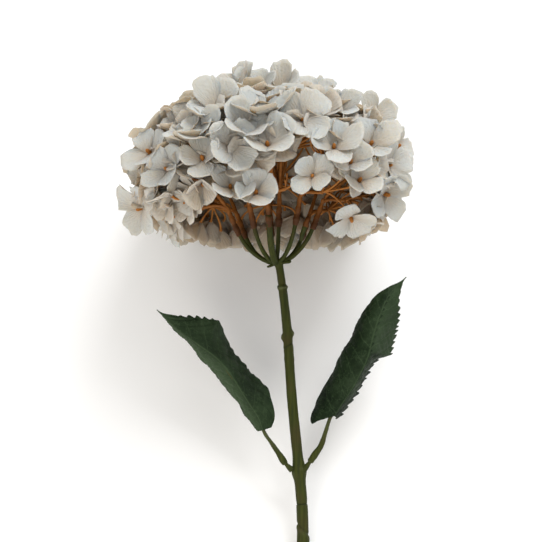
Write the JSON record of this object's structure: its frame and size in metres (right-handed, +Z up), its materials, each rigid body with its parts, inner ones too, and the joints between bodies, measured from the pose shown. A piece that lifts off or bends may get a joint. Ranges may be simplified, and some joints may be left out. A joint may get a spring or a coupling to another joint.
{
  "type": "cut hydrangea stem",
  "caption": "Cut hydrangea stem laid on its side: dense dome of cream four-petalled florets on amber sprays, green arms, jointed stem and a pair of toothed leaves.",
  "frame": {"origin": "middle of the part's outline at the level of the table that it lies on", "axes": "+Z up from the table; +Y from the cut end of the stem towards the flower head; +X to the right of a viewer who looks down on it with the head at the top"},
  "size_m": [0.1852, 0.3054, 0.1587],
  "materials": {
    "petal_cream": "thin matt woven cloth, finely creased, translucent, faintly warm towards each floret's middle",
    "spray_amber": "moulded amber-brown plastic with a soft sheen",
    "stem_green": "satin olive-green moulded plastic, browner in patches",
    "leaf_green": "dark green printed cloth pressed with veins, matt with a slight sheen"
  },
  "bodies": {
    "root": {"flower_arms": "stem_green", "stem_top": "stem_green", "stem_middle": "stem_green", "stem_foot": "stem_green", "spray_1": "petal_cream", "spray_2": "petal_cream", "spray_3": "petal_cream", "spray_4": "petal_cream", "spray_5": "petal_cream", "spray_6": "petal_cream", "spray_7": "petal_cream", "spray_8": "petal_cream", "spray_9": "petal_cream", "leaf_left": "leaf_green", "leaf_right": "leaf_green", "petiole_left": "stem_green", "petiole_right": "stem_green"}
  },
  "joints": []
}
